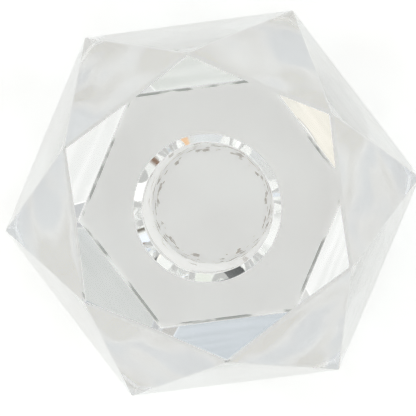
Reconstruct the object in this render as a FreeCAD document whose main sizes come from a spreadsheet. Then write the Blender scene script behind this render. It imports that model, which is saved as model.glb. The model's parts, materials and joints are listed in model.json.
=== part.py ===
"""Crystal block candlestick: one piece of cut and polished clear glass.

The block is ground from a hexagonal lump.  Looking down on it there are three
hexagons: a flat table on top, a wide girdle part of the way down with its
corners half-way between the table's, and a small base in line with the girdle.
Twelve triangular facets join the table to the girdle (the crown) and six
tapering ones join the girdle to the base (the pavilion).  A round, flat
bottomed candle bore with a polished chamfer goes down from the table.

Frame: +Z up, the origin at the centre of the base face, a girdle corner on +X.
Millimetres.
"""
import FreeCAD, Part
import Sketcher
import os

SHEET = "Dimensions"

# name, value in mm, what it is
DIMENSIONS = (
    ("overall_height", 48.0, "base face to table face"),
    ("girdle_height", 22.0, "base face to the lower edge of the girdle"),
    ("girdle_band", 0.4, "upright polished band that keeps the girdle from a knife edge"),
    ("table_corner_radius", 26.0, "centre to a corner of the table"),
    ("girdle_corner_radius", 37.8, "centre to a corner of the girdle"),
    ("base_corner_radius", 24.8, "centre to a corner of the base"),
    ("table_bevel", 0.4, "how far the polished bevel runs in over the table"),
    ("base_bevel", 0.5, "how far the polished bevel runs in under the base"),
    ("bore_diameter", 22.0, "candle bore, for a dinner candle"),
    ("bore_depth", 27.0, "table face to the floor of the bore"),
    ("mouth_chamfer", 1.4, "polished chamfer round the mouth of the bore"),
    ("floor_fillet", 1.5, "round between the wall and the floor of the bore"),
)

HEX_SIDES = 6
FLAT = "cos(30 deg)"            # a hexagon's centre-to-side over its centre-to-corner
CLEAR = "5"                     # how far a cutting profile reaches past the glass
BEVEL_SHARE = 0.5               # a bevel leans at this share of its facet's angle


def cell(name):
    """Return the expression that reads one driving dimension."""
    return "{}.{}".format(SHEET, name)


GIRDLE_TOP = "({} + {})".format(cell("girdle_height"), cell("girdle_band"))
TABLE_FLAT = "({} * {})".format(cell("table_corner_radius"), FLAT)
GIRDLE_FLAT = "({} * {})".format(cell("girdle_corner_radius"), FLAT)
BASE_FLAT = "({} * {})".format(cell("base_corner_radius"), FLAT)
CROWN_RISE = "({} - {})".format(cell("overall_height"), GIRDLE_TOP)
CROWN_RUN = "({} - {})".format(cell("girdle_corner_radius"), TABLE_FLAT)
PAVILION_RUN = "({} - {})".format(GIRDLE_FLAT, BASE_FLAT)


def add_sheet(doc):
    """Put the driving dimensions in a spreadsheet, one alias to a row."""
    sheet = doc.addObject("Spreadsheet::Sheet", SHEET)
    for row, (name, value, meaning) in enumerate(DIMENSIONS, start=1):
        sheet.set("A{}".format(row), name)
        sheet.set("B{}".format(row), str(value))
        sheet.set("C{}".format(row), meaning)
        sheet.setAlias("B{}".format(row), name)
    doc.recompute()
    return sheet


def origin_feature(body, role):
    """Return one of the body's own origin planes or axes."""
    return next(item for item in body.Origin.OriginFeatures if item.Role == role)


def add_sketch(body, name, plane, height=None):
    """Return a new sketch on one of the body's origin planes, lifted if asked."""
    sketch = body.newObject("Sketcher::SketchObject", name)
    sketch.AttachmentSupport = [(origin_feature(body, plane), "")]
    sketch.MapMode = "FlatFace"
    if height is not None:
        sketch.setExpression("AttachmentOffset.Base.z", height)
    return sketch


def draw_polygon(sketch, corners):
    """Draw a closed polygon and tie each corner to its two expressions.

    corners holds (name, across, up) with both places as expressions.
    """
    places = [FreeCAD.Vector(number(sketch, across), number(sketch, up), 0)
              for name, across, up in corners]
    count = len(corners)
    for index in range(count):
        sketch.addGeometry(Part.LineSegment(places[index], places[(index + 1) % count]), False)
    for index in range(count):
        sketch.addConstraint(Sketcher.Constraint("Coincident", index, 2, (index + 1) % count, 1))
    for index, (name, across, up) in enumerate(corners):
        for kind, suffix, text, value in (("DistanceX", "across", across, places[index].x),
                                          ("DistanceY", "up", up, places[index].y)):
            label = "{}_{}".format(name, suffix)
            which = sketch.addConstraint(Sketcher.Constraint(kind, -1, 1, index, 1, value))
            sketch.renameConstraint(which, label)
            sketch.setExpression(".Constraints.{}".format(label), text)


def number(owner, expression):
    """Return an expression's value as a plain number."""
    value = owner.evalExpression(expression)
    return float(getattr(value, "Value", value))


def draw_hexagon(sketch, radius):
    """Draw a hexagon with a corner on +X from its centre-to-corner expression."""
    corners = []
    for corner in range(HEX_SIDES):
        angle = "{} deg".format(corner * 360 // HEX_SIDES)
        corners.append(("corner{}".format(corner),
                        "{} * cos({})".format(radius, angle),
                        "{} * sin({})".format(radius, angle)))
    draw_polygon(sketch, corners)


def cut_facets(body, name, plane, corners, reach):
    """Grind one facet away and repeat it round the block.

    The profile lies in the upright plane through the facet's middle.  It is
    cut to both sides by reach, and the cut is turned round the Z axis.
    """
    sketch = add_sketch(body, name + "_profile", plane)
    draw_polygon(sketch, corners)
    cut = body.newObject("PartDesign::Pocket", name)
    cut.Profile = sketch
    cut.SideType = "Symmetric"
    cut.setExpression("Length", reach)
    ring = body.newObject("PartDesign::PolarPattern", name + "s")
    ring.Originals = [cut]
    ring.Axis = (origin_feature(body, "Z_Axis"), [""])
    ring.Angle = 360
    ring.Occurrences = HEX_SIDES
    body.Tip = ring
    return ring


def add_pavilion(body):
    """Loft the lower half of the block from the base to the girdle."""
    base = add_sketch(body, "base_outline", "XY_Plane")
    draw_hexagon(base, cell("base_corner_radius"))
    girdle = add_sketch(body, "girdle_outline", "XY_Plane", cell("girdle_height"))
    draw_hexagon(girdle, cell("girdle_corner_radius"))
    pavilion = body.newObject("PartDesign::AdditiveLoft", "pavilion")
    pavilion.Profile = base
    pavilion.Sections = [girdle]
    pavilion.Ruled = True
    return girdle


def add_crown(body, girdle):
    """Raise the girdle outline to the table and grind the twelve crown facets."""
    lump = body.newObject("PartDesign::Pad", "crown_lump")
    lump.Profile = girdle
    lump.setExpression("Length", "{} - {}".format(cell("overall_height"), cell("girdle_height")))
    top = cell("overall_height")
    above = "{} + {}".format(top, CLEAR)
    reach = "4 * {}".format(cell("girdle_corner_radius"))

    outer = "{} + {}".format(cell("girdle_corner_radius"), CLEAR)
    cut_facets(body, "corner_facet", "XZ_Plane", (
        ("girdle", cell("girdle_corner_radius"), GIRDLE_TOP),
        ("table", TABLE_FLAT, top),
        ("above", TABLE_FLAT, above),
        ("far", outer, above),
        ("outside", outer, GIRDLE_TOP)), reach)

    outer = "{} + {}".format(GIRDLE_FLAT, CLEAR)
    return cut_facets(body, "side_facet", "YZ_Plane", (
        ("girdle", GIRDLE_FLAT, GIRDLE_TOP),
        ("table", cell("table_corner_radius"), top),
        ("above", cell("table_corner_radius"), above),
        ("far", outer, above),
        ("outside", outer, GIRDLE_TOP)), reach)


def add_bevels(body):
    """Take the sharp edge off the table and the base with flat polished bevels."""
    reach = "4 * {}".format(cell("girdle_corner_radius"))
    top = cell("overall_height")
    lean = "tan({} * atan2({}; {}))".format(BEVEL_SHARE, CROWN_RISE, CROWN_RUN)
    inner = "{} - {}".format(TABLE_FLAT, cell("table_bevel"))
    outer = "{} + {}".format(TABLE_FLAT, CLEAR)
    drop = "({} + {}) * {}".format(CLEAR, cell("table_bevel"), lean)
    cut_facets(body, "table_bevel", "XZ_Plane", (
        ("inner", inner, top),
        ("above", inner, "{} + {}".format(top, CLEAR)),
        ("far", outer, "{} + {}".format(top, CLEAR)),
        ("outer", outer, "{} - {}".format(top, drop))), reach)

    lean = "tan({} * atan2({}; {}))".format(BEVEL_SHARE, cell("girdle_height"), PAVILION_RUN)
    inner = "{} - {}".format(BASE_FLAT, cell("base_bevel"))
    outer = "{} + {}".format(BASE_FLAT, CLEAR)
    rise = "({} + {}) * {}".format(CLEAR, cell("base_bevel"), lean)
    return cut_facets(body, "base_bevel", "YZ_Plane", (
        ("inner", inner, "0"),
        ("outer", outer, rise),
        ("far", outer, "0 - {}".format(CLEAR)),
        ("below", inner, "0 - {}".format(CLEAR))), reach)


def round_edge(body, height, radius):
    """Return the name of the full circular edge at a height and a radius."""
    for index, edge in enumerate(body.Shape.Edges, start=1):
        curve = edge.Curve
        if isinstance(curve, Part.Circle) and edge.isClosed():
            if abs(curve.Center.z - height) < 1e-4 and abs(curve.Radius - radius) < 1e-4:
                return "Edge{}".format(index)
    raise RuntimeError("no round edge at z {} with radius {}".format(height, radius))


def add_bore(doc, body, sheet):
    """Turn the candle bore, round its floor and chamfer its mouth."""
    sketch = add_sketch(body, "bore_profile", "XZ_Plane")
    top = cell("overall_height")
    floor = "{} - {}".format(top, cell("bore_depth"))
    above = "{} + {}".format(top, CLEAR)
    wall = "{} / 2".format(cell("bore_diameter"))
    draw_polygon(sketch, (
        ("floor_middle", "0", floor),
        ("floor_edge", wall, floor),
        ("above_mouth", wall, above),
        ("above_middle", "0", above)))
    bore = body.newObject("PartDesign::Groove", "bore")
    bore.Profile = sketch
    bore.ReferenceAxis = (sketch, ["V_Axis"])
    bore.Angle = 360
    body.Tip = bore
    doc.recompute()

    radius = sheet.bore_diameter / 2
    floor_height = sheet.overall_height - sheet.bore_depth
    fillet = body.newObject("PartDesign::Fillet", "bore_floor_round")
    fillet.Base = (bore, [round_edge(body, floor_height, radius)])
    fillet.setExpression("Radius", cell("floor_fillet"))
    body.Tip = fillet
    doc.recompute()

    chamfer = body.newObject("PartDesign::Chamfer", "bore_mouth_chamfer")
    chamfer.Base = (fillet, [round_edge(body, sheet.overall_height, radius)])
    chamfer.setExpression("Size", cell("mouth_chamfer"))
    body.Tip = chamfer
    doc.recompute()


def add_crystal_block(doc, sheet):
    """Build the cut glass block, the candlestick's only piece."""
    body = doc.addObject("PartDesign::Body", "crystal_block")
    body.Label = "crystal_block"
    girdle = add_pavilion(body)
    add_crown(body, girdle)
    doc.recompute()
    lump_volume = body.Shape.Volume
    add_bevels(body)
    doc.recompute()
    bevelled_volume = body.Shape.Volume
    add_bore(doc, body, sheet)
    if not body.Shape.Volume < bevelled_volume < lump_volume:
        raise RuntimeError("a cut took no glass away")
    return body


def check(doc, bodies):
    """Stop if any object failed or any piece is not one valid solid."""
    for item in doc.Objects:
        if "Invalid" in item.State or "Error" in item.State:
            raise RuntimeError("{} failed: {}".format(item.Name, item.State))
    for body in bodies:
        shape = body.Shape
        if shape.isNull() or not shape.isValid() or len(shape.Solids) != 1:
            raise RuntimeError("{} is not one valid solid".format(body.Label))


def main():
    doc = FreeCAD.newDocument("candlestick")
    sheet = add_sheet(doc)
    bodies = [add_crystal_block(doc, sheet)]
    doc.recompute()
    check(doc, bodies)
    os.makedirs("parts", exist_ok=True)
    for body in bodies:
        body.Shape.exportStep("parts/{}.step".format(body.Label))
        box = body.Shape.BoundBox
        print("{}: {:.2f} x {:.2f} x {:.2f} mm, {:.0f} mm3, {} faces".format(
            body.Label, box.XLength, box.YLength, box.ZLength, body.Shape.Volume,
            len(body.Shape.Faces)))


main()
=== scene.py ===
"""Looks of a cut-glass block candlestick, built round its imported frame.

The candlestick is one block of clear crystal glass.  Its facets are ground here
one after another from a rough lump, as a glass cutter does it, and the candle
bore is then drilled, rounded and chamfered.  Every size is in metres and in the
frame's own axes: +Z up, the origin at the middle of the base face, and one
corner of the girdle, the block's widest hexagon, on +X.
"""

import json
import logging
import math
from dataclasses import dataclass, field
from enum import Enum

import bmesh
import bpy
from mathutils import Matrix, Vector


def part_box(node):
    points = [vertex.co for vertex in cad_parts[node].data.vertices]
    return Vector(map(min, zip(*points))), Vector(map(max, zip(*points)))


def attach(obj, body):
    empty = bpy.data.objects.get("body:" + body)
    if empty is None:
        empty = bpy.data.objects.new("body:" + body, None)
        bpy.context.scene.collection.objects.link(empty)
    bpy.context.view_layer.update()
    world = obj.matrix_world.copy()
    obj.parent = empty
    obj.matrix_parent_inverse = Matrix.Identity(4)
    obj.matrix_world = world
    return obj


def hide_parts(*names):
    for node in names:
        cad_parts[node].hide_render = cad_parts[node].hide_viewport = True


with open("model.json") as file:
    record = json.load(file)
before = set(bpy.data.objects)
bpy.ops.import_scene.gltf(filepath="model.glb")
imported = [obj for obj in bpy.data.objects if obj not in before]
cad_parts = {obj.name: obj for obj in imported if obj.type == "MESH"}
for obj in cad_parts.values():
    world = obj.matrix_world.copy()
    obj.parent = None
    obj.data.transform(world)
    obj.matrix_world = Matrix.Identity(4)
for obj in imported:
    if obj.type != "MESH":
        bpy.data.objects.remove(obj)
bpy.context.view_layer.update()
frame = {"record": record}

MM = 0.001
HEXAGON = 6
BODY = "root"
log = logging.getLogger("candlestick")


class Surface(Enum):
    """The ways in which the glass was finished, in the order of its material slots."""

    FACET = 0
    CORNER = 1
    SIDE = 2
    GIRDLE = 3
    BASE_BEVEL = 4
    MOUTH = 5
    BORE_WALL = 6
    BORE_ROUND = 7
    BORE_FLOOR = 8


def linear(colour: str) -> tuple[float, float, float, float]:
    """Turn an sRGB hex colour into linear light.

    Args:
        colour: six hex digits, such as "f2f4f4".

    Returns:
        Red, green, blue and an alpha of one.
    """
    parts = [int(colour[place:place + 2], 16) / 255 for place in (0, 2, 4)]
    light = [part / 12.92 if part <= 0.04045 else ((part + 0.055) / 1.055) ** 2.4 for part in parts]
    return (light[0], light[1], light[2], 1.0)


def add_node(tree: bpy.types.NodeTree, kind: str, settings: dict | None = None,
             links: dict | None = None) -> bpy.types.Node:
    """Add one node with its settings and its incoming links.

    Args:
        tree: the node tree that takes the node.
        kind: the node's type name.
        settings: property names or input socket names and numbers, with their values.
        links: input sockets, by name or number, with the output sockets that feed them.

    Returns:
        The new node.
    """
    node = tree.nodes.new(kind)
    for name, value in (settings or {}).items():
        if isinstance(name, str) and hasattr(node, name):
            setattr(node, name, value)
        else:
            node.inputs[name].default_value = value
    for name, output in (links or {}).items():
        tree.links.new(output, node.inputs[name])
    return node


def mix_where(tree: bpy.types.NodeTree, pattern: bpy.types.Node, start: float, full: float,
              tint: str, other: str) -> bpy.types.NodeSocket:
    """Change from one colour to another where a pattern is strong.

    Args:
        tree: the material's node tree.
        pattern: the noise that decides where.
        start: the noise's value at which the other colour begins to show.
        full: its value at which only the other colour shows.
        tint: the colour where the pattern is weak.
        other: the colour where it is strong.

    Returns:
        A socket with the colour.
    """
    amount = add_node(tree, "ShaderNodeMapRange", {"From Min": start, "From Max": full},
                      {"Value": pattern.outputs["Fac"]})
    colour = add_node(tree, "ShaderNodeMix", {
        "data_type": "RGBA", 6: linear(tint), 7: linear(other)}, {0: amount.outputs["Result"]})
    return colour.outputs[2]


@dataclass(frozen=True)
class CrystalGlass:
    """Clear lead-free crystal glass, cut and polished.

    The eye gets sharp, colourless refraction from it, with mirrors where a facet
    is met from inside at a slant.  Hand polishing leaves each surface very
    slightly uneven, so what is seen through it wavers.
    """

    name: str
    tint: str = "fcfcfb"            # a trace of colour from the iron in the sand
    ior: float = 1.52
    roughness: float = 0.0
    waver: float = 0.03             # strength of the polish's unevenness
    waver_size: float = 9.0 * MM    # from one shallow hollow to the next
    waver_depth: float = 0.05 * MM

    def make(self) -> bpy.types.Material:
        """Build the material.

        Returns:
            A node material for one surface of the block.
        """
        material = bpy.data.materials.new(self.name)
        material.use_nodes = True
        tree = material.node_tree
        tree.nodes.clear()
        bump = self.unevenness(tree)
        glass = add_node(tree, "ShaderNodeBsdfPrincipled", {
            "Base Color": linear(self.tint), "Roughness": self.roughness, "IOR": self.ior,
            "Transmission Weight": 1.0}, {"Normal": bump.outputs["Normal"]})
        self.paint_light_and_shade(tree, glass)
        add_node(tree, "ShaderNodeOutputMaterial", None, {"Surface": glass.outputs["BSDF"]})
        return material

    def unevenness(self, tree: bpy.types.NodeTree) -> bpy.types.Node:
        """Add the shallow hollows that a polishing wheel leaves.

        Args:
            tree: the material's node tree.

        Returns:
            The bump node that turns the surface's normal.
        """
        place = add_node(tree, "ShaderNodeTexCoord")
        hollows = add_node(tree, "ShaderNodeTexNoise", {
            "Scale": 1.0 / self.waver_size, "Detail": 1.0, "Roughness": 0.4},
            {"Vector": place.outputs["Object"]})
        return add_node(tree, "ShaderNodeBump", {
            "Strength": self.waver, "Distance": self.waver_depth},
            {"Height": hollows.outputs["Fac"]})

    def paint_light_and_shade(self, tree: bpy.types.NodeTree, glass: bpy.types.Node) -> None:
        """Paint no light or shade on the glass: it stays clean."""

    @staticmethod
    def round_axis(tree: bpy.types.NodeTree, count: float, upward: float) -> bpy.types.NodeSocket:
        """Lay coordinates round the block's axis.

        Args:
            tree: the material's node tree.
            count: pattern units in one turn round the axis.
            upward: pattern units in one metre of height.

        Returns:
            A socket with the place round the axis and the height.
        """
        place = add_node(tree, "ShaderNodeTexCoord")
        across = add_node(tree, "ShaderNodeSeparateXYZ", None, {"Vector": place.outputs["Object"]})
        angle = add_node(tree, "ShaderNodeMath", {"operation": "ARCTAN2"},
                         {0: across.outputs["Y"], 1: across.outputs["X"]})
        ring = add_node(tree, "ShaderNodeMath", {"operation": "MULTIPLY", 1: count / math.tau},
                        {0: angle.outputs["Value"]})
        height = add_node(tree, "ShaderNodeMath", {"operation": "MULTIPLY", 1: upward},
                          {0: across.outputs["Z"]})
        grid = add_node(tree, "ShaderNodeCombineXYZ", None,
                        {"X": ring.outputs["Value"], "Y": height.outputs["Value"]})
        return grid.outputs["Vector"]


@dataclass(frozen=True)
class GroundGlass(CrystalGlass):
    """A narrow edge of the same glass, fine-ground and only half polished.

    The eye gets a thin broken line from it, pale where light catches the grit's
    marks and dark where shade is painted in patches on it, in place of the dark line where the base
    meets the sheet and of the glass's inner reflections.
    """

    grit_mark: float = 1.2 * MM      # coarser than the real 0.1 mm, so that it shows
    # painted shade, laid in patches along the edge
    painted_shade: str = "6f7370"
    clear_share: float = 0.5         # how much of the edge the painted shade leaves clear
    patch_edge: float = 0.06         # how softly a patch of painted shade ends
    drawn_out: float = 5.0           # a mark's length over its width

    def paint_light_and_shade(self, tree: bpy.types.NodeTree, glass: bpy.types.Node) -> None:
        """Paint shade in patches along the edge.

        Args:
            tree: the material's node tree.
            glass: the glass shader that takes the colour.
        """
        place = add_node(tree, "ShaderNodeTexCoord")
        marks = add_node(tree, "ShaderNodeTexNoise", {
            "Scale": 1.0 / self.grit_mark, "Detail": 2.0}, {"Vector": self.along(tree, place)})
        # painted shade in patches along the edge
        shaded_patches = mix_where(tree, marks, self.clear_share - self.patch_edge,
                          self.clear_share + self.patch_edge, self.tint, self.painted_shade)
        tree.links.new(shaded_patches, glass.inputs["Base Color"])

    def along(self, tree: bpy.types.NodeTree, place: bpy.types.Node) -> bpy.types.NodeSocket:
        """Draw the marks out along the edge.

        Args:
            tree: the material's node tree.
            place: the node that gives the object's coordinates.

        Returns:
            A socket with the coordinates that the marks follow.
        """
        level = 1.0 / self.drawn_out
        stretched = add_node(tree, "ShaderNodeVectorMath", {
            "operation": "MULTIPLY", 1: (level, level, 1.0)}, {0: place.outputs["Object"]})
        return stretched.outputs["Vector"]


@dataclass(frozen=True)
class CornerGlass(CrystalGlass):
    """The large corner facets, polished last and by hand.

    The eye gets faint veils of cream, blue and grey painted into them: painted
    reflections that stand for what cut glass throws about inside itself in a furnished room.
    """

    # painted reflections: the colours of the veils
    veils: tuple[str, str, str] = ("e6e4df", "ffffff", "e8edf4")
    veil_size: float = 10.0 * MM
    veil_places: tuple[float, float, float] = (0.4, 0.5, 0.6)    # where on the noise each one lies

    def paint_light_and_shade(self, tree: bpy.types.NodeTree, glass: bpy.types.Node) -> None:
        """Paint the veils, painted reflections, into the facet.

        Args:
            tree: the material's node tree.
            glass: the glass shader that takes the colour.
        """
        place = add_node(tree, "ShaderNodeTexCoord")
        veil = add_node(tree, "ShaderNodeTexNoise", {
            "Scale": 1.0 / self.veil_size, "Detail": 1.0, "Roughness": 0.3, "Distortion": 0.4},
            {"Vector": place.outputs["Object"]})
        shades = add_node(tree, "ShaderNodeValToRGB", None, {"Fac": veil.outputs["Fac"]})
        ramp = shades.color_ramp.elements
        ramp.new(self.veil_places[1])
        for stop, place_on_noise, shade in zip(ramp, self.veil_places, self.veils):
            stop.position = place_on_noise
            stop.color = linear(shade)
        tree.links.new(shades.outputs["Color"], glass.inputs["Base Color"])


@dataclass(frozen=True)
class BoredGlass(CrystalGlass):
    """The bore's wall: drilled with a diamond core and then acid polished.

    It is as clear as the facets but keeps faint upright flutes, which draw out
    whatever is seen through it into bright and dark streaks.
    """

    flute_count: int = 46
    flute_depth: float = 0.03 * MM
    flute_length: float = 50 * MM
    flutes: float = 1.0              # strength, against the full depth

    def unevenness(self, tree: bpy.types.NodeTree) -> bpy.types.Node:
        """Add flutes that run the bore's length, uneven round the wall.

        Args:
            tree: the material's node tree.

        Returns:
            The bump node that turns the surface's normal.
        """
        flutes = add_node(tree, "ShaderNodeTexNoise", {"Scale": 1.0, "Detail": 2.0, "Roughness": 0.5},
                          {"Vector": self.round_axis(tree, self.flute_count, 1.0 / self.flute_length)})
        return add_node(tree, "ShaderNodeBump", {
            "Strength": self.flutes, "Distance": self.flute_depth}, {"Height": flutes.outputs["Fac"]})


@dataclass(frozen=True)
class LappedGlass(CrystalGlass):
    """The narrow side facets, polished against a flat lap.

    The eye gets faint level lines in them, some bright and some grey, because it
    meets them at a slant; the bright ones are painted highlights.  They are tinted
    greyer than clear glass is, a painted shade that keeps the block's outline plain
    on a pale table.
    """

    stretches: float = 7             # round the block: the lines are long
    line_gap: float = 1.6 * MM       # wider than the lap's own 0.3 mm, so that it shows
    line_depth: float = 0.02 * MM
    line_strength: float = 1.0       # against the full depth
    # painted highlight: the colour of the brighter level lines
    streak: str = "d0d2d0"
    streak_start: float = 0.42       # the noise's value at which a painted highlight begins
    streak_full: float = 0.66

    def paint_light_and_shade(self, tree: bpy.types.NodeTree, glass: bpy.types.Node) -> None:
        """Paint some of the level lines brighter than the rest, as painted highlights.

        Args:
            tree: the material's node tree.
            glass: the glass shader that takes the colour.
        """
        lines = add_node(tree, "ShaderNodeTexNoise", {"Scale": 1.0, "Detail": 3.0, "Roughness": 0.6},
                         {"Vector": self.round_axis(tree, self.stretches, 1.0 / self.line_gap)})
        highlighted_lines = mix_where(tree, lines, self.streak_start, self.streak_full, self.tint, self.streak)
        tree.links.new(highlighted_lines, glass.inputs["Base Color"])

    def unevenness(self, tree: bpy.types.NodeTree) -> bpy.types.Node:
        """Add level lines, one above another.

        Args:
            tree: the material's node tree.

        Returns:
            The bump node that turns the surface's normal.
        """
        lines = add_node(tree, "ShaderNodeTexNoise", {"Scale": 1.0, "Detail": 2.0, "Roughness": 0.5},
                         {"Vector": self.round_axis(tree, self.stretches, 1.0 / self.line_gap)})
        return add_node(tree, "ShaderNodeBump", {
            "Strength": self.line_strength, "Distance": self.line_depth},
            {"Height": lines.outputs["Fac"]})


@dataclass(frozen=True)
class ReflectionRingGlass(BoredGlass):
    """The round at the bore's foot, which the core drill's corner leaves.

    The eye gets a thin, broken, brown-grey ring round the bore's floor, a painted
    reflection that stands for the glass's inner reflections there.
    """

    streaks: int = 30                # round the bore, about 2.3 mm each
    streaks_per_mm: float = 6.0      # up the round
    # painted reflection: the brown-grey of the ring
    painted_reflection: str = "9d958c"
    clear_share: float = 0.52
    streak_edge: float = 0.1         # how softly a streak begins

    def paint_light_and_shade(self, tree: bpy.types.NodeTree, glass: bpy.types.Node) -> None:
        """Paint reflection streaks that run round the bore.

        Args:
            tree: the material's node tree.
            glass: the glass shader that takes the colour.
        """
        streaks = add_node(tree, "ShaderNodeTexNoise", {"Scale": 1.0, "Detail": 2.0},
                           {"Vector": self.round_axis(tree, self.streaks, self.streaks_per_mm / MM)})
        # painted reflection streaks in the round
        reflection_ring = mix_where(tree, streaks, self.clear_share, self.clear_share + self.streak_edge,
                           self.tint, self.painted_reflection)
        tree.links.new(reflection_ring, glass.inputs["Base Color"])


@dataclass(frozen=True)
class OpalTable:
    """Opal acrylic sheet with a satin face, lit softly from below.

    The eye gets a pale ground from it, faintly cloudy, with no gloss and hardly
    a shadow.
    """

    name: str = "satin_opal_acrylic"
    tint: str = "f6f7f6"
    cloud: str = "f1f1f0"
    cloud_size: float = 16.0 * MM
    cloud_start: float = 0.35        # the noise's value at which a cloud begins
    cloud_full: float = 0.65
    roughness: float = 0.9
    glow: float = 0.385

    def make(self) -> bpy.types.Material:
        """Build the material.

        Returns:
            A node material for the sheet.
        """
        material = bpy.data.materials.new(self.name)
        material.use_nodes = True
        tree = material.node_tree
        tree.nodes.clear()
        place = add_node(tree, "ShaderNodeTexCoord")
        clouds = add_node(tree, "ShaderNodeTexNoise", {
            "Scale": 1.0 / self.cloud_size, "Detail": 2.0, "Roughness": 0.45},
            {"Vector": place.outputs["Object"]})
        clouded = mix_where(tree, clouds, self.cloud_start, self.cloud_full, self.tint, self.cloud)
        opal = add_node(tree, "ShaderNodeBsdfPrincipled", {
            "Roughness": self.roughness, "Specular IOR Level": 0.1, "Emission Strength": self.glow},
            {"Base Color": clouded, "Emission Color": clouded})
        add_node(tree, "ShaderNodeOutputMaterial", None, {"Surface": opal.outputs["BSDF"]})
        return material


@dataclass(frozen=True)
class Flat:
    """One flat of the block: a point on its plane, its outward normal and its finish."""

    point: Vector
    normal: Vector
    finish: Surface = Surface.FACET


@dataclass
class CrystalBlock:
    """The glass block: ground facets, a drilled bore and softened arrises.

    An arris is the edge between two facets.
    """

    girdle_height: float = 22.0 * MM
    girdle_band: float = 0.4 * MM
    table_corner_radius: float = 26.0 * MM
    base_corner_radius: float = 24.8 * MM
    table_bevel: float = 0.4 * MM
    base_bevel: float = 0.5 * MM
    bore_depth: float = 27.0 * MM
    mouth_chamfer: float = 1.4 * MM
    floor_fillet: float = 1.5 * MM
    arris: float = 0.15 * MM          # how far a polished arris is rounded back
    bore_steps: int = 192             # flats round the bore, too small to see
    fillet_steps: int = 6
    margin: float = 1.5 * MM          # from the table's edge to the ring that keeps its mesh even
    arris_segments: int = 2
    sharpest_kept: float = math.radians(16)  # an edge that bends less than this isn't rounded
    cut_tolerance: float = 1e-4 * MM
    weld_distance: float = 1e-3 * MM
    level_angle: float = math.radians(0.1)   # faces within this angle are one flat
    girdle_corner_radius: float = field(init=False)
    overall_height: float = field(init=False)
    bore_radius: float = field(init=False)

    def __post_init__(self) -> None:
        """Take the sizes that the frame holds from the frame."""
        _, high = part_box("crystal_block")
        self.girdle_corner_radius = high.x
        self.overall_height = high.z
        bore = next(mount for mount in frame["record"]["mounts"] if mount["name"] == "candle_bore")
        self.bore_radius = bore["dims"]["r_mm"] * MM

    def facets(self) -> list[Flat]:
        """Work out every flat that is ground on the block.

        Returns:
            The table, the base and then the flats of each corner and side in turn.
        """
        inner = math.cos(math.pi / HEXAGON)      # centre to side over centre to corner
        top = self.overall_height
        girdle_top = self.girdle_height + self.girdle_band
        table_flat = self.table_corner_radius * inner
        girdle_flat = self.girdle_corner_radius * inner
        base_flat = self.base_corner_radius * inner
        crown_slope = math.atan2(top - girdle_top, self.girdle_corner_radius - table_flat)
        pavilion_slope = math.atan2(self.girdle_height, girdle_flat - base_flat)
        crown_lean = Vector((1.0, -math.tan(crown_slope / 2)))
        pavilion_lean = Vector((-1.0, -math.tan(pavilion_slope / 2)))

        corner = [
            self.flat((self.girdle_corner_radius, girdle_top), (table_flat, top), Surface.CORNER),
            self.flat(Vector((table_flat - self.table_bevel, top)) + crown_lean,
                      (table_flat - self.table_bevel, top))]
        side = [
            self.flat((base_flat, 0.0), (girdle_flat, self.girdle_height)),
            self.flat((girdle_flat, self.girdle_height), (girdle_flat, girdle_top), Surface.GIRDLE),
            self.flat((girdle_flat, girdle_top), (self.table_corner_radius, top), Surface.SIDE),
            self.flat((base_flat - self.base_bevel, 0.0),
                      Vector((base_flat - self.base_bevel, 0.0)) - pavilion_lean,
                      Surface.BASE_BEVEL)]
        flats = [Flat(Vector((0, 0, top)), Vector((0, 0, 1))), Flat(Vector(), Vector((0, 0, -1)))]
        to_corner, to_side = 0.0, 0.5            # in sixths of a turn
        for turn in range(HEXAGON):
            for offset, profiles in ((to_corner, corner), (to_side, side)):
                spin = Matrix.Rotation(math.tau * (turn + offset) / HEXAGON, 3, "Z")
                flats += [Flat(spin @ flat.point, spin @ flat.normal, flat.finish) for flat in profiles]
        return flats

    @staticmethod
    def flat(low: tuple[float, float] | Vector, high: tuple[float, float] | Vector,
             finish: Surface = Surface.FACET) -> Flat:
        """Make a flat that faces +X from two points of its upright profile.

        Args:
            low: distance from the axis and height of the lower point.
            high: the same for the upper point.
            finish: how its face was finished.

        Returns:
            The flat.
        """
        run, rise = high[0] - low[0], high[1] - low[1]
        return Flat(Vector((low[0], 0.0, low[1])), Vector((rise, 0.0, -run)).normalized(), finish)

    def grind(self) -> bmesh.types.BMesh:
        """Grind the flats on a rough lump, one plane after another.

        Returns:
            The faceted block, still without its bore.
        """
        lump = bmesh.new()
        bmesh.ops.create_cube(lump, size=4 * self.girdle_corner_radius)
        for flat in self.facets():
            cut = bmesh.ops.bisect_plane(
                lump, geom=lump.verts[:] + lump.edges[:] + lump.faces[:], dist=self.cut_tolerance,
                plane_co=flat.point, plane_no=flat.normal, clear_outer=True)
            rim = [item for item in cut["geom_cut"] if isinstance(item, bmesh.types.BMEdge)]
            open_rim = [edge for edge in rim if edge.is_boundary]
            if open_rim:
                for face in bmesh.ops.holes_fill(lump, edges=open_rim, sides=0)["faces"]:
                    face.material_index = flat.finish.value
        bmesh.ops.remove_doubles(lump, verts=lump.verts[:], dist=self.weld_distance)
        bmesh.ops.dissolve_limit(lump, angle_limit=self.level_angle, verts=lump.verts[:],
                                 edges=lump.edges[:])
        bmesh.ops.recalc_face_normals(lump, faces=lump.faces[:])
        return lump

    def bore_profile(self) -> list[tuple[float, float]]:
        """List the bore's radius and height from its mouth to its floor.

        Returns:
            One pair for each ring of the bore's lining.
        """
        top, radius = self.overall_height, self.bore_radius
        floor = top - self.bore_depth
        profile = [(radius + self.mouth_chamfer, top), (radius, top - self.mouth_chamfer)]
        for step in range(self.fillet_steps + 1):
            angle = math.pi / 2 * step / self.fillet_steps
            profile.append((radius - self.floor_fillet * (1 - math.cos(angle)),
                            floor + self.floor_fillet * (1 - math.sin(angle))))
        return profile

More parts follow.
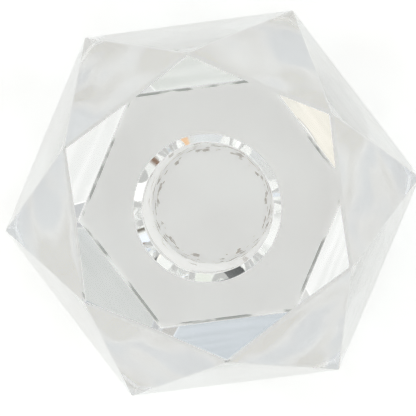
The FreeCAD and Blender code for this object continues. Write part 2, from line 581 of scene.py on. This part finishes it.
    def drill(self, block: bmesh.types.BMesh) -> None:
        """Open the table and line the bore with its chamfer, wall, fillet and floor.

        Args:
            block: the faceted block, which gains its bore.
        """
        table = max(block.faces, key=lambda face: face.calc_center_median().z)
        corners = sorted(table.verts, key=lambda vert: math.atan2(vert.co.y, vert.co.x))
        bmesh.ops.delete(block, geom=[table], context="FACES_ONLY")
        shrink = 1 - self.margin / self.table_corner_radius
        inner = [block.verts.new((vert.co.x * shrink, vert.co.y * shrink, vert.co.z))
                 for vert in corners]
        count = len(corners)
        for index in range(count):
            after = (index + 1) % count
            block.faces.new((corners[index], corners[after], inner[after], inner[index]))

        rings = []
        for radius, height in self.bore_profile():
            rings.append([block.verts.new((radius * math.cos(math.tau * step / self.bore_steps),
                                           radius * math.sin(math.tau * step / self.bore_steps), height))
                          for step in range(self.bore_steps)])
        edges = [block.edges.get((inner[index], inner[(index + 1) % count])) for index in range(count)]
        edges += [block.edges.new((rings[0][step], rings[0][(step + 1) % self.bore_steps]))
                  for step in range(self.bore_steps)]
        bmesh.ops.triangle_fill(block, edges=edges, use_beauty=True)
        for level, (upper, lower) in enumerate(zip(rings, rings[1:])):
            finish = (Surface.MOUTH, Surface.BORE_WALL)[level] if level < 2 else Surface.BORE_ROUND
            for step in range(self.bore_steps):
                after = (step + 1) % self.bore_steps
                face = block.faces.new((upper[step], upper[after], lower[after], lower[step]))
                face.material_index = finish.value
        floor = block.faces.new(rings[-1])
        floor.material_index = Surface.BORE_FLOOR.value

    def build(self) -> bpy.types.Object:
        """Make the block's mesh, soften its arrises and dress it.

        Returns:
            The finished piece, standing for the CAD block.
        """
        block = self.grind()
        self.drill(block)
        bmesh.ops.recalc_face_normals(block, faces=block.faces[:])
        for face in block.faces:
            face.smooth = True
        mesh = bpy.data.meshes.new("cut_glass_block")
        block.to_mesh(mesh)
        block.free()
        for finish in (CrystalGlass("polished_crystal_facets"),
                       CornerGlass("polished_crystal_corners"),
                       # painted shade: the side facets are tinted greyer than clear glass
                       LappedGlass("lapped_crystal_sides", tint="bcbfbc"),
                       # painted shade on the girdle and, darker, on the base bevel
                       GroundGlass("ground_crystal_girdle", roughness=0.15, painted_shade="b9b6ae"),
                       GroundGlass("ground_crystal_base_bevel", roughness=0.2, painted_shade="858985"),
                       BoredGlass("polished_crystal_mouth", tint="eef0ee", flute_count=110,
                                  flutes=0.22),
                       BoredGlass("drilled_crystal_bore"),
                       ReflectionRingGlass("reflection_ring_crystal_bore_round"),
                       CrystalGlass("polished_crystal_bore_floor", waver=0.06, waver_size=3.0 * MM)):
            mesh.materials.append(finish.make())
        piece = bpy.data.objects.new("cut_glass_block", mesh)
        bpy.context.scene.collection.objects.link(piece)
        soften = piece.modifiers.new("polished_arrises", "BEVEL")
        soften.width = self.arris
        soften.segments = self.arris_segments
        soften.limit_method = "ANGLE"
        soften.angle_limit = self.sharpest_kept
        soften.harden_normals = True
        soften.material = Surface.FACET.value      # an arris is always polished clear
        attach(piece, BODY)
        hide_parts("crystal_block")
        return piece


@dataclass(frozen=True)
class RoomPatch:
    """One thing in the room that the glass mirrors, such as a window.

    Its place, its half widths and its soft edge are angles in degrees, as they
    are seen from the block: round from +X, and down from overhead.
    """

    name: str
    round_from_x: float
    half_round: float
    from_overhead: float
    half_down: float
    edge: float
    tint: str


ROOM_PATCHES = (
    RoomPatch("pale_walls", 0, 200, 42, 14, 4, "e9ebe9"),
    RoomPatch("dove_wall", 26, 10, 42, 14, 4, "dadcdb"),
    RoomPatch("cool_wall", 66, 32, 42, 14, 4, "d6dce3"),
    RoomPatch("slate_door", 39, 3.5, 44, 12, 3.5, "5f7285"),
    RoomPatch("grey_cupboard", -104, 7, 42, 14, 5, "d9ddd4"),
    RoomPatch("white_door", -32, 13, 42, 14, 4, "ffffff"),
    RoomPatch("window", 166, 16, 42, 14, 3, "ffffff"),
    RoomPatch("sky_pane", -158, 5, 42, 14, 2, "e9effb"),
    RoomPatch("curtain", -147, 5, 42, 14, 2, "fffaf0"),
    RoomPatch("dark_shelf", -77, 17, 26, 5.5, 3, "23272a"),
    RoomPatch("brass_lamp", 110, 7, 30, 12, 1.5, "e2bd98"),
    RoomPatch("lamp_bracket", 136, 2.5, 28, 5, 2, "7a5f4c"),
    RoomPatch("window_frame", -167, 1.2, 28, 4, 1, "6b655c"),
)


@dataclass(frozen=True)
class Softbox:
    """One softbox that faces the block.

    It lights the opal sheet only: the glass shows the room and not the softbox.
    """

    name: str
    place: tuple[float, float, float]
    size: float
    power: float                      # watts
    tint: str = "ffffff"

    def hang(self) -> None:
        """Hang the softbox, turned towards the foot of the block."""
        light = bpy.data.lights.new(self.name, "AREA")
        light.shape = "SQUARE"
        light.size = self.size
        light.energy = self.power
        light.color = linear(self.tint)[:3]
        lamp = bpy.data.objects.new(self.name, light)
        lamp.location = self.place
        lamp.rotation_mode = "QUATERNION"
        lamp.rotation_quaternion = (-Vector(self.place)).to_track_quat("-Z", "Y")
        lamp.visible_transmission = False
        lamp.visible_glossy = False
        bpy.context.scene.collection.objects.link(lamp)


SOFTBOXES = (
    Softbox("overhead_softbox", (-0.15, 0.10, 0.80), 0.7, 0.25),
    Softbox("fill_softbox", (0.30, -0.25, 0.75), 0.6, 0.15),
)


@dataclass
class Studio:
    """A softly lit opal sheet under two softboxes, in a bright room."""

    floor_size: float = 3.0
    floor_gap: float = 0.15 * MM      # air between the base face and the sheet
    room_tint: str = "b9b9b8"
    room_light: float = 1.28

    def build(self) -> None:
        """Lay the floor, hang the lights and light the room."""
        self.lay_floor()
        for softbox in SOFTBOXES:
            softbox.hang()
        self.light_room()

    def lay_floor(self) -> None:
        """Lay the opal sheet under the block."""
        half, level = self.floor_size / 2, -self.floor_gap
        mesh = bpy.data.meshes.new("opal_sheet")
        mesh.from_pydata([(-half, -half, level), (half, -half, level),
                          (half, half, level), (-half, half, level)], [], [(0, 1, 2, 3)])
        mesh.materials.append(OpalTable().make())
        floor = bpy.data.objects.new("opal_sheet", mesh)
        bpy.context.scene.collection.objects.link(floor)

    def light_room(self) -> None:
        """Fill the room with an even, pale light and set the patches in it."""
        world = bpy.data.worlds.new("studio_room")
        bpy.context.scene.world = world
        world.use_nodes = True
        tree = world.node_tree
        tree.nodes.clear()
        towards = add_node(tree, "ShaderNodeTexCoord")
        parts = add_node(tree, "ShaderNodeSeparateXYZ", None, {"Vector": towards.outputs["Generated"]})
        turn = add_node(tree, "ShaderNodeMath", {"operation": "ARCTAN2"},
                        {0: parts.outputs["Y"], 1: parts.outputs["X"]})
        down = add_node(tree, "ShaderNodeMath", {"operation": "ARCCOSINE"}, {0: parts.outputs["Z"]})
        seen = None
        for patch in ROOM_PATCHES:
            across = self.within(tree, turn.outputs["Value"], patch.round_from_x, patch.half_round,
                                 patch.edge)
            tall = self.within(tree, down.outputs["Value"], patch.from_overhead, patch.half_down,
                               patch.edge)
            both = add_node(tree, "ShaderNodeMath", {"operation": "MULTIPLY"}, {0: across, 1: tall})
            layer = add_node(tree, "ShaderNodeMix", {
                "data_type": "RGBA", "label": patch.name, 6: linear(self.room_tint),
                7: linear(patch.tint)}, {0: both.outputs["Value"]})
            if seen:
                tree.links.new(seen, layer.inputs[6])
            seen = layer.outputs[2]
        room = add_node(tree, "ShaderNodeBackground", {"Strength": self.room_light}, {"Color": seen})
        add_node(tree, "ShaderNodeOutputWorld", None, {"Surface": room.outputs["Background"]})

    @staticmethod
    def within(tree: bpy.types.NodeTree, angle: bpy.types.NodeSocket, centre: float, half: float,
               edge: float) -> bpy.types.NodeSocket:
        """Tell how far an angle lies inside a stretch with soft ends.

        Args:
            tree: the world's node tree.
            angle: the angle, in radians.
            centre: the stretch's middle, in degrees.
            half: half its length, in degrees.
            edge: half the width of its soft ends, in degrees.

        Returns:
            A socket that is one inside the stretch and zero outside it.
        """
        offset = add_node(tree, "ShaderNodeMath", {
            "operation": "SUBTRACT", 1: math.radians(centre)}, {0: angle})
        wrapped = add_node(tree, "ShaderNodeMath", {"operation": "WRAP", 1: math.pi, 2: -math.pi},
                           {0: offset.outputs["Value"]})
        away = add_node(tree, "ShaderNodeMath", {"operation": "ABSOLUTE"},
                        {0: wrapped.outputs["Value"]})
        soft = add_node(tree, "ShaderNodeMapRange", {
            "interpolation_type": "SMOOTHSTEP", "From Min": math.radians(half - edge),
            "From Max": math.radians(half + edge), "To Min": 1.0, "To Max": 0.0},
            {"Value": away.outputs["Value"]})
        return soft.outputs["Result"]


@dataclass
class ViewCamera:
    """A camera that looks down into the block, a little from one side."""

    distance: float = 300.0 * MM      # from the table
    lean: float = 2.5                 # degrees off upright
    lean_towards: float = 35.6        # degrees round from +X
    turn: float = 7.4                 # degrees that +X is turned up from the picture's right
    aim: tuple[float, float] = (0.1 * MM, 0.0)      # point of the table at the picture's middle
    frame_width: float = 69.3 * MM    # seen across at the table
    sensor: float = 36.0              # millimetres, full frame

    def build(self, table_height: float) -> bpy.types.Object:
        """Place the camera over the block.

        Args:
            table_height: height of the block's table.

        Returns:
            The camera, which is also made the scene's own.
        """
        data = bpy.data.cameras.new("view_camera")
        data.sensor_width = self.sensor
        data.lens = self.sensor * self.distance / self.frame_width
        data.clip_start = 1.0 * MM
        camera = bpy.data.objects.new("view_camera", data)
        bpy.context.scene.collection.objects.link(camera)
        tilt, towards = math.radians(self.lean), math.radians(self.lean_towards)
        back = Vector((math.sin(tilt) * math.cos(towards), math.sin(tilt) * math.sin(towards),
                       math.cos(tilt)))
        target = Vector((*self.aim, table_height))
        turn = math.radians(self.turn)
        up = Vector((math.sin(turn), math.cos(turn), 0.0))
        right = up.cross(back).normalized()
        axes = Matrix((right, back.cross(right), back)).transposed()
        camera.location = target + back * self.distance
        camera.rotation_mode = "QUATERNION"
        camera.rotation_quaternion = axes.to_quaternion()
        bpy.context.scene.camera = camera
        return camera


def set_light_paths() -> None:
    """Let light bounce often enough to find its way out of a faceted block."""
    cycles = bpy.context.scene.cycles
    cycles.max_bounces = 32
    cycles.transmission_bounces = 32
    cycles.glossy_bounces = 24
    bpy.context.scene.view_settings.view_transform = "Standard"


def main() -> None:
    """Build the block, the studio and the camera, in that order."""
    logging.basicConfig(level=logging.INFO, format="%(name)s: %(message)s")
    block = CrystalBlock()
    piece = block.build()
    log.info("%s: %d faces before its arrises are softened", piece.name, len(piece.data.polygons))
    Studio().build()
    log.info("studio: floor, lights and room")
    camera = ViewCamera().build(block.overall_height)
    log.info("%s: %.0f mm lens", camera.name, camera.data.lens)
    set_light_paths()


if __name__ == "__main__":
    main()
